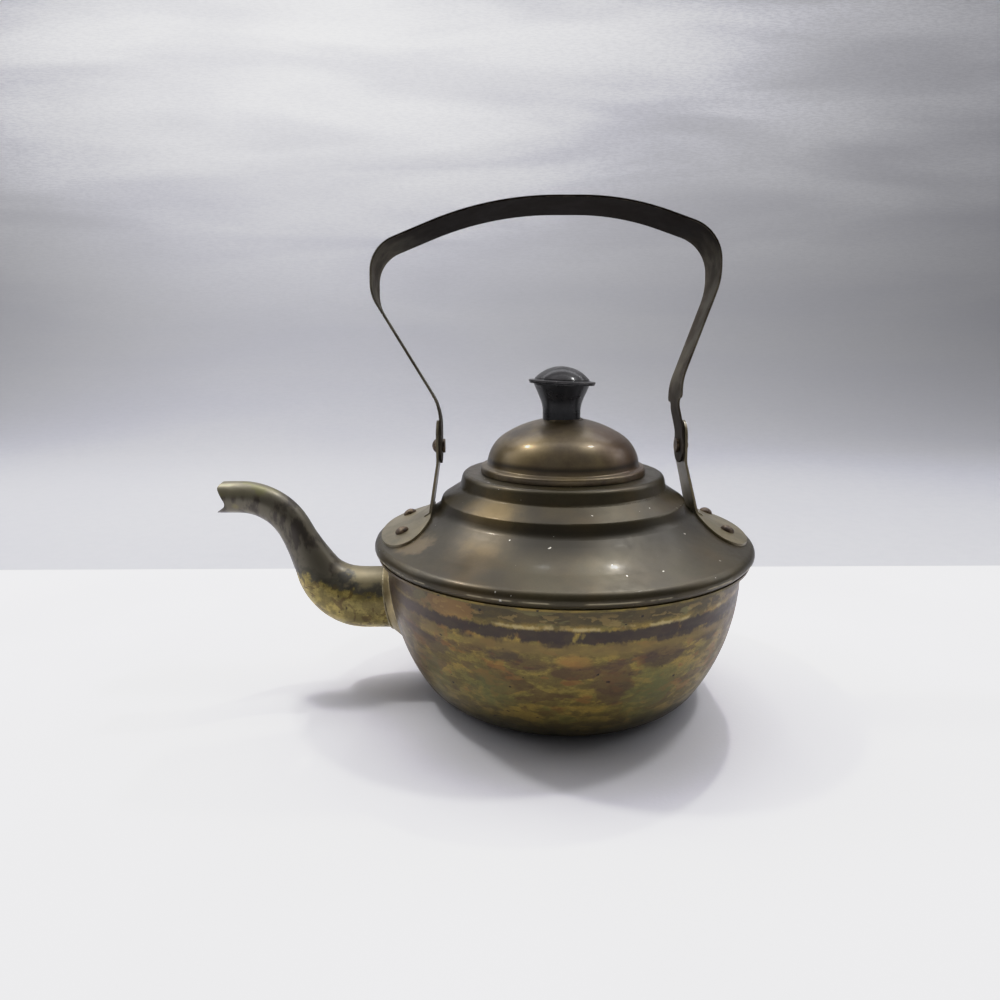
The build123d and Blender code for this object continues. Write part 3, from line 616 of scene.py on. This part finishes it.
def makeSpoutFinish():
    look = spoutLook
    material, tree, shader, where = newFinish("spoutBrass", look)
    coat = layTarnish(tree, where, look)
    gold = layMarks(tree, where, coat["Color"], spoutMarks)
    # the gold shows on the belly of the lower bend only: above it the brass has gone grey brown
    x, y, z = split(tree, where)
    ripple = swing(tree, noiseOf(tree, where, look["rippleScale"], 6.0, 0.62), look["ripple"])
    fall = times(tree, plus(tree, x, look["elbow"]), look["slope"])
    slant = plus(tree, minus(tree, z, fall), ripple)
    upper = ramp(tree, slant, look["goldEnds"], look["greyStarts"])
    streaked = levelled(tree, where, look["streakStretch"], look["streakPlace"])
    streaks = share(tree, noiseOf(tree, streaked, look["streakScale"], 6.0, 0.62),
                    look["streakShare"], look["streakEdge"])
    grey = blend(tree, streaks, look["neck"], look["neckDark"])
    # a blue-black line along the border, and a lighter olive root above it
    pastLine = ramp(tree, slant, look["greyStarts"], look["lineEnds"])
    line = times(tree, ramp(tree, slant, look["lineStarts"], look["lineFull"]), opposite(tree, pastLine))
    root = times(tree, ramp(tree, x, look["rootStarts"], look["rootFull"]), pastLine)
    grey = blend(tree, times(tree, root, look["rootStrength"]), grey, look["root"])
    shade = blend(tree, upper, gold, grey)
    shade = blend(tree, times(tree, line, look["lineStrength"]), shade, look["line"])
    # the top of the beak is rubbed paler
    forward = ramp(tree, times(tree, x, -1.0), look["beakStarts"], look["beakFull"])
    beak = times(tree, ramp(tree, z, look["beakLow"], look["beakHigh"]), forward)
    shade = blend(tree, times(tree, beak, look["beakStrength"]), shade, look["beak"])
    shade = layMarks(tree, where, shade, beakMarks)
    endFinish(tree, shader, shade, coat, coat["Height"], look)
    return material


stemLook = {
    "base": paint(18, 18, 20), "warm": paint(18, 18, 20), "dark": paint(30, 29, 29),
    "cloudSize": 0.006, "warmShare": 0.3, "darkShare": 0.3, "edge": 0.2, "stretch": 1.0, "grain": 0.2,
    "roughness": 0.30, "shift": (0.0, 0.0, 0.0), "metallic": 0.0, "specular": 0.25, "coatWeight": 0.0,
    "coatRoughness": 0.12, "bumpDepth": 0.00006, "bumpStrength": 0.5,
    "worn": 0.7, "wornWidth": 0.0005, "wornTint": paint(120, 118, 116),
    "dust": paint(168, 166, 162), "dustShare": 0.12, "dustStrength": 0.7,
}
capLook = dict(
    stemLook, base=paint(66, 63, 64), warm=paint(66, 63, 64), dark=paint(48, 46, 47), darkShare=0.5,
    roughness=0.42, coatWeight=0.3, dustShare=0.35)


def makeKnobFinish(name, look):
    material, tree, shader, where = newFinish(name, look)
    coat = layTarnish(tree, where, look)
    dust = {"Spacing": 0.0026, "Size": 0.13, "Share": look["dustShare"]}
    shade = layMarks(tree, where, coat["Color"], [(specks, dust, look["dust"], look["dustStrength"])])
    endFinish(tree, shader, layWear(tree, where, shade, look), coat, coat["Height"], look)
    return material


bowlBrass = makeBowlFinish()
shoulderBrass = makeSpunFinish("shoulderBrass", shoulderLook, shoulderMarks)
lidBrass = makeSpunFinish("lidBrass", lidLook, lidMarks)
earBrass = makeSpunFinish("earBrass", earLook, limeSpecks)
saddleBrass = makeSpunFinish("saddleBrass", saddleLook)
strapBrass = makeStrapFinish()
rivetBrass = makeSpunFinish("rivetBrass", rivetLook)
spoutBrass = makeSpoutFinish()
knobBlack = makeKnobFinish("knobBlack", stemLook)
capGrey = makeKnobFinish("capGrey", capLook)
solderTin = makeSpunFinish("solderTin", solderLook)
screwSteel = makeSpunFinish("screwSteel", screwLook)

finishes = {
    "bowl": bowlBrass, "shoulder": shoulderBrass, "spout": spoutBrass, "spout_flange": saddleBrass,
    "left_ear": earBrass, "right_ear": earBrass, "left_ear_rivets": rivetBrass,
    "right_ear_rivets": rivetBrass, "left_pivot_rivet": rivetBrass, "right_pivot_rivet": rivetBrass,
    "handle_strap": strapBrass, "lid_dome": lidBrass, "lid_ring": lidBrass, "knob_stem": knobBlack,
    "knob_cap": capGrey, "knob_screw": screwSteel, "knob_washer": screwSteel,
}
for name, node in nodes.items():
    for slot in node.material_slots:
        slot.material = finishes[name]
print("finishes laid on every node")


# pieces that repeat or follow a path, made with Geometry Nodes

def newPieceTree(name, inputs):
    tree = bpy.data.node_groups.new(name, "GeometryNodeTree")
    tree.interface.new_socket("Geometry", in_out="INPUT", socket_type="NodeSocketGeometry")
    keys = {}
    for socketName, kind, value in inputs:
        socket = tree.interface.new_socket(socketName, in_out="INPUT", socket_type=kind)
        if value is not None:
            socket.default_value = value
        keys[socketName] = socket.identifier
    tree.interface.new_socket("Geometry", in_out="OUTPUT", socket_type="NodeSocketGeometry")
    return tree, keys, tree.nodes.new("NodeGroupInput").outputs


def unevenness(tree, size, seed):
    # a noise in space that another seed changes
    at = addNode(tree, "GeometryNodeInputPosition").outputs[0]
    settings = {"Vector": at, "W": seed, "Scale": oneOver(tree, size), "Detail": 2.0}
    return addNode(tree, "ShaderNodeTexNoise", settings, noise_dimensions="4D").outputs


def moved(tree, geometry, offset):
    return addNode(tree, "GeometryNodeSetPosition", {"Geometry": geometry, "Offset": offset}).outputs[0]


def facing(tree, arrow):
    return addNode(tree, "FunctionNodeAlignRotationToVector", {"Vector": arrow}, axis="Z").outputs[0]


def realized(tree, geometry):
    return addNode(tree, "GeometryNodeRealizeInstances", {"Geometry": geometry}).outputs[0]


def endTree(tree, geometry, given):
    smooth = addNode(tree, "GeometryNodeSetShadeSmooth", {"Geometry": realized(tree, geometry)}).outputs[0]
    dressed = addNode(tree, "GeometryNodeSetMaterial", {"Geometry": smooth, "Material": given["Material"]})
    tree.links.new(dressed.outputs[0], tree.nodes.new("NodeGroupOutput").inputs[0])


headSteps, ringSteps, sectionSteps = (40, 20), 240, 12  # how finely heads, rings and beads are cut


def makeHeadTree():
    # a hammered rivet head on every point, standing along its outward arrow
    tree, keys, given = newPieceTree("hammeredHeads", [
        ("Head Radius", number, 0.003), ("Head Height", number, 0.002), ("Dent", number, 0.0004),
        ("Dent Size", number, 0.002), ("Seed", "NodeSocketInt", 3), ("Material", "NodeSocketMaterial", None)])
    dome = addNode(tree, "GeometryNodeMeshUVSphere", {
        "Segments": headSteps[0], "Rings": headSteps[1], "Radius": 1.0}).outputs[0]
    arrow = addNode(tree, "GeometryNodeInputNamedAttribute", {"Name": "outward"}, data_type="FLOAT_VECTOR")
    heads = addNode(tree, "GeometryNodeInstanceOnPoints", {
        "Points": given["Geometry"], "Instance": dome, "Rotation": facing(tree, arrow.outputs[0]),
        "Scale": joined(tree, given["Head Radius"], given["Head Radius"], given["Head Height"])}).outputs[0]
    # the hammer's dents push the surface in and out
    noise = unevenness(tree, given["Dent Size"], given["Seed"])[0]
    outwards = addNode(tree, "GeometryNodeInputNormal").outputs[0]
    dents = scaledVector(tree, outwards, swing(tree, noise, given["Dent"]))
    endTree(tree, moved(tree, realized(tree, heads), dents), given)
    return tree, keys


def makeBeadTree():
    # a wavy bead of solder round a ring, thicker in places
    tree, keys, given = newPieceTree("solderBead", [
        ("Centre", place, (0, 0, 0)), ("Axis", place, (0, 0, 1)), ("Ring Radius", number, 0.01),
        ("Thickness", number, 0.0005), ("Wander", number, 0.0002), ("Lump Size", number, 0.003),
        ("Seed", "NodeSocketInt", 5), ("Material", "NodeSocketMaterial", None)])
    circle = "GeometryNodeCurvePrimitiveCircle"
    ring = addNode(tree, circle, {"Resolution": ringSteps, "Radius": given["Ring Radius"]}).outputs[0]
    ring = addNode(tree, "GeometryNodeTransform", {
        "Geometry": ring, "Translation": given["Centre"], "Rotation": facing(tree, given["Axis"])}).outputs[0]
    noise = unevenness(tree, given["Lump Size"], given["Seed"])
    sway = vectorMath(tree, "SUBTRACT", noise["Color"], (0.5, 0.5, 0.5))
    ring = moved(tree, ring, scaledVector(tree, sway, given["Wander"]))
    lumps = ramp(tree, noise[0], 0.3, 0.7, 0.75, 1.25)
    ring = addNode(tree, "GeometryNodeSetCurveRadius", {"Curve": ring, "Radius": lumps}).outputs[0]
    section = addNode(tree, circle, {"Resolution": sectionSteps, "Radius": given["Thickness"]}).outputs[0]
    # where Curve to Mesh has a scale of its own, it takes the lumps too
    sweep = addNode(tree, "GeometryNodeCurveToMesh", {"Curve": ring, "Profile Curve": section})
    if "Scale" in sweep.inputs:
        tree.links.new(lumps, sweep.inputs["Scale"])
    endTree(tree, sweep.outputs[0], given)
    return tree, keys


def makePiece(name, made, values, points=(), arrows=()):
    # runs a tree once on its points and keeps the plain mesh
    tree, keys = made
    mesh = bpy.data.meshes.new(name)
    mesh.from_pydata(points, [], [])
    if arrows:
        stored = mesh.attributes.new("outward", "FLOAT_VECTOR", "POINT")
        stored.data.foreach_set("vector", [value for arrow in arrows for value in arrow])
    piece = bpy.data.objects.new(name, mesh)
    bpy.context.scene.collection.objects.link(piece)
    modifier = piece.modifiers.new(name, "NODES")
    modifier.node_group = tree
    for socketName, value in values.items():
        modifier[keys[socketName]] = value
    ready = piece.evaluated_get(bpy.context.evaluated_depsgraph_get())
    plain = bpy.data.meshes.new_from_object(ready)
    piece.modifiers.clear()
    piece.data = plain
    return piece


# the ears are riveted at four places, given in metres at the foot of each head
rivetPlaces = {"across": 0.06927, "along": 0.01610, "height": 0.07482, "lean": (0.352, 0.077, 0.933)}
headLook = {"Head Radius": 0.00295, "Head Height": 0.0020, "Dent": 0.0009, "Dent Size": 0.0022, "Seed": 3}
headPoints, headArrows = [], []
for side in (-1, 1):
    for end in (-1, 1):
        leanAcross, leanAlong, leanUp = rivetPlaces["lean"]
        headPoints.append((side * rivetPlaces["across"], end * rivetPlaces["along"], rivetPlaces["height"]))
        headArrows.append((side * leanAcross, end * leanAlong, leanUp))
headTree, beadTree = makeHeadTree(), makeBeadTree()
rivetHeads = makePiece("rivetHeads", headTree, {**headLook, "Material": rivetBrass}, headPoints, headArrows)
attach(rivetHeads, "kettle")

spoutBeadLook = {"Centre": (-0.07765, 0.0, 0.03942), "Axis": (-0.9888, 0.0, -0.1494),
                 "Ring Radius": 0.01415, "Thickness": 0.0005, "Wander": 0.0004, "Lump Size": 0.004, "Seed": 5}
spoutBead = makePiece("spoutBead", beadTree, {**spoutBeadLook, "Material": solderTin})
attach(spoutBead, "kettle")

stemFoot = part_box("knob_stem")[0][2]
stemBeadLook = {"Centre": (0.0, 0.0, stemFoot + 0.0001), "Axis": (0.0, 0.0, 1.0),
                "Ring Radius": 0.0083, "Thickness": 0.00035, "Wander": 0.0002, "Lump Size": 0.004, "Seed": 8}
stemBead = makePiece("stemBead", beadTree, {**stemBeadLook, "Material": lidBrass})
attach(stemBead, "lid")
faceCounts = [len(piece.data.polygons) for piece in (rivetHeads, spoutBead, stemBead)]
print("rivet heads and beads made, with faces:", faceCounts)


# table, cloth, lamps, room and camera

stageLook = {
    "front": -5.0, "tableEdge": 0.162, "sweepStart": 0.62, "sweepRadius": 0.5, "sweepSteps": 24,
    "top": 1.3, "half": 5.0, "edgeBlur": 0.0006,
    "metallic": 0.0, "specular": 0.2, "roughness": 0.75, "coatWeight": 0.0, "coatRoughness": 0.2,
    "bumpDepth": 0.0002, "bumpStrength": 0.25, "weaveScale": 700.0,
    "table": paint(236, 235, 238), "tableShade": paint(228, 227, 231), "tableScale": 6.0,
    # the cloth's low and high colours are painted shade and painted light
    "clothShadedLow": paint(178, 178, 181), "clothLitHigh": paint(238, 238, 239), "lowEnds": 0.12, "highStarts": 0.70,
    # the fold colour is painted shade
    "fold": paint(172, 172, 178), "foldStrength": 0.45, "foldLean": 24, "foldStretch": (0.7, 1.0, 4.2),
    "foldScale": 2.6, "linen": paint(168, 168, 173), "linenStrength": 0.22, "linenStretch": 6.0,
    "linenScale": 90.0,
}


def makeStageFinish():
    look = stageLook
    material, tree, shader, where = newFinish("tableAndCloth", look)
    shader.inputs["Roughness"].default_value = look["roughness"]
    x, y, z = split(tree, where)
    soft = ramp(tree, noiseOf(tree, where, look["tableScale"], 3.0), 0.3, 0.7)
    table = blend(tree, soft, look["table"], look["tableShade"])
    # the cloth is painted darker low down and lighter high up: painted shade and painted light
    grey = blend(tree, ramp(tree, z, look["lowEnds"], look["highStarts"]), look["clothShadedLow"], look["clothLitHigh"])
    # the cloth's broad slanting folds are painted shade on a flat sheet, with a fine streaky weave
    turned = addNode(tree, "ShaderNodeMapping", {
        "Vector": where, "Rotation": (0.0, math.radians(look["foldLean"]), 0.0),
        "Scale": look["foldStretch"]}).outputs[0]
    folds = ramp(tree, noiseOf(tree, turned, look["foldScale"], 2.5, 0.45, 0.5), 0.34, 0.66)
    grey = blend(tree, times(tree, folds, look["foldStrength"]), grey, look["fold"])
    streaked = levelled(tree, where, look["linenStretch"], (0.0, 0.0, 0.0))
    linen = ramp(tree, noiseOf(tree, streaked, look["linenScale"], 6.0, 0.75), 0.40, 0.62)
    grey = blend(tree, times(tree, linen, look["linenStrength"]), grey, look["linen"])
    cloth = ramp(tree, y, look["tableEdge"] - look["edgeBlur"], look["tableEdge"] + look["edgeBlur"])
    tree.links.new(blend(tree, cloth, table, grey), shader.inputs["Base Color"])
    addBump(tree, shader, noiseOf(tree, where, look["weaveScale"], 3.0), look)
    return material


def makeStage():
    # a pale sweep: a flat table, then a grey cloth that curves up far behind
    look = stageLook
    profile = [(look["front"], 0.0), (look["tableEdge"], 0.0), (look["sweepStart"], 0.0)]
    for step in range(1, look["sweepSteps"] + 1):
        angle = math.radians(90 * step / look["sweepSteps"])
        profile.append((look["sweepStart"] + look["sweepRadius"] * math.sin(angle),
                        look["sweepRadius"] - look["sweepRadius"] * math.cos(angle)))
    profile.append((profile[-1][0], look["top"]))
    points, faces = [], []
    for y, z in profile:
        points += [(-look["half"], y, z), (look["half"], y, z)]
    for low in range(0, 2 * len(profile) - 2, 2):
        faces.append((low, low + 1, low + 3, low + 2))
    mesh = bpy.data.meshes.new("sweep")
    mesh.from_pydata(points, [], faces)
    for face in mesh.polygons:
        face.use_smooth = True
    mesh.materials.append(makeStageFinish())
    sweep = bpy.data.objects.new("sweep", mesh)
    bpy.context.scene.collection.objects.link(sweep)


makeStage()

kettleMiddle = Vector((0, 0, 0.06))
lamps = {
    # the way there from the kettle's middle, distance and size in metres, power in watts
    "lampLeft": {"way": (-0.50, 0.21, 0.84), "distance": 1.5, "size": 0.11, "power": 4.9},
    "lampRight": {"way": (0.42, 0.08, 0.90), "distance": 1.1, "size": 0.09, "power": 2.3},
    "lampLow": {"way": (0.86, 0.10, 0.46), "distance": 1.3, "size": 0.25, "power": 0.30},
    "glintRight": {"way": (0.27, 0.40, 0.87), "distance": 1.3, "size": 0.05, "power": 2.7},
    "glintLeft": {"way": (-0.04, 0.39, 0.92), "distance": 1.3, "size": 0.05, "power": 0.5},
}
# lights the cloth only: the kettle stands behind its back
clothLamp = {"place": (-0.45, 0.34, 0.80), "aim": (-0.35, 1.12, 0.30), "size": 0.5, "power": 3.4}


def hangLamp(name, spot, back, look):
    # a round lamp that shines against the way its back points
    lamp = bpy.data.lights.new(name, "AREA")
    lamp.shape = "DISK"
    lamp.size = look["size"]
    lamp.energy = look["power"]
    made = bpy.data.objects.new(name, lamp)
    bpy.context.scene.collection.objects.link(made)
    made.location = spot
    made.rotation_euler = back.to_track_quat("Z", "Y").to_euler()
    return made


for name, look in lamps.items():
    towards = Vector(look["way"]).normalized()
    hangLamp(name, kettleMiddle + towards * look["distance"], towards, look)
clothBack = Vector(clothLamp["place"]) - Vector(clothLamp["aim"])
hangLamp("lampCloth", clothLamp["place"], clothBack, clothLamp).visible_camera = False

roomLook = {
    "tint": (0.95, 0.955, 1.0, 1), "low": 0.14, "high": 2.8, "highFrom": 0.50,
    "front": 0.03, "frontEnds": -0.30, "behindStarts": 0.48, "right": 0.95, "sideBlur": 0.5,
    "wall": (0.50, 0.50, 0.52, 1),
}


def makeRoom():
    # light from above and behind, a little more of it from the left, and a dark room in front
    look = roomLook
    world = bpy.data.worlds.new("room")
    bpy.context.scene.world = world
    world.use_nodes = True
    tree = world.node_tree
    across, behind, up = split(tree, addNode(tree, "ShaderNodeTexCoord").outputs["Generated"])
    overhead = ramp(tree, up, 0.0, look["highFrom"], look["low"], look["high"])
    backLight = ramp(tree, behind, look["frontEnds"], look["behindStarts"], look["front"], 1.0)
    sideLight = ramp(tree, across, -look["sideBlur"], look["sideBlur"], 1.0, look["right"])
    background = tree.nodes["Background"]
    background.inputs["Color"].default_value = look["tint"]
    strength = times(tree, times(tree, overhead, backLight), sideLight)
    tree.links.new(strength, background.inputs["Strength"])
    # past the cloth the camera sees a pale wall, which gives no light of its own
    wall = addNode(tree, "ShaderNodeBackground", {"Color": look["wall"], "Strength": 1.0}).outputs[0]
    seen = addNode(tree, "ShaderNodeLightPath").outputs["Is Camera Ray"]
    shown = addNode(tree, "ShaderNodeMixShader", {0: seen, 1: background.outputs[0], 2: wall}).outputs[0]
    tree.links.new(shown, tree.nodes["World Output"].inputs["Surface"])


makeRoom()

exposureLook = {"white": 1.6, "steps": [
    (0.0, 0.0), (0.125, 0.20), (0.25, 0.42), (0.375, 0.685), (0.5, 0.80), (0.6875, 0.85), (1.0, 0.93)]}


def makeExposure():
    # highlights roll off gently, as they do in a phone's picture
    view = bpy.context.scene.view_settings
    view.view_transform = "Standard"
    view.use_curve_mapping = True
    mapping = view.curve_mapping
    mapping.white_level = (exposureLook["white"],) * 3
    curve = mapping.curves[3]
    steps = exposureLook["steps"]
    curve.points[0].location = steps[0]
    curve.points[1].location = steps[-1]
    for step in steps[1:-1]:
        curve.points.new(*step)
    mapping.update()


makeExposure()

cameraLook = {"lens": 26.46, "sensor": 36.0, "place": (-0.03061, -0.31791, 0.15712),
              "ahead": (0.00974, 0.97494, -0.22225), "roll": -0.0013}
lens = bpy.data.cameras.new("camera")
lens.lens = cameraLook["lens"]
lens.sensor_width = cameraLook["sensor"]
camera = bpy.data.objects.new("camera", lens)
bpy.context.scene.collection.objects.link(camera)
camera.location = cameraLook["place"]
level = Vector(cameraLook["ahead"]).to_track_quat("-Z", "Y").to_matrix().to_4x4()
camera.rotation_euler = (level @ Matrix.Rotation(cameraLook["roll"], 4, "Z")).to_euler()
bpy.context.scene.camera = camera
print("stage, lamps and camera set")
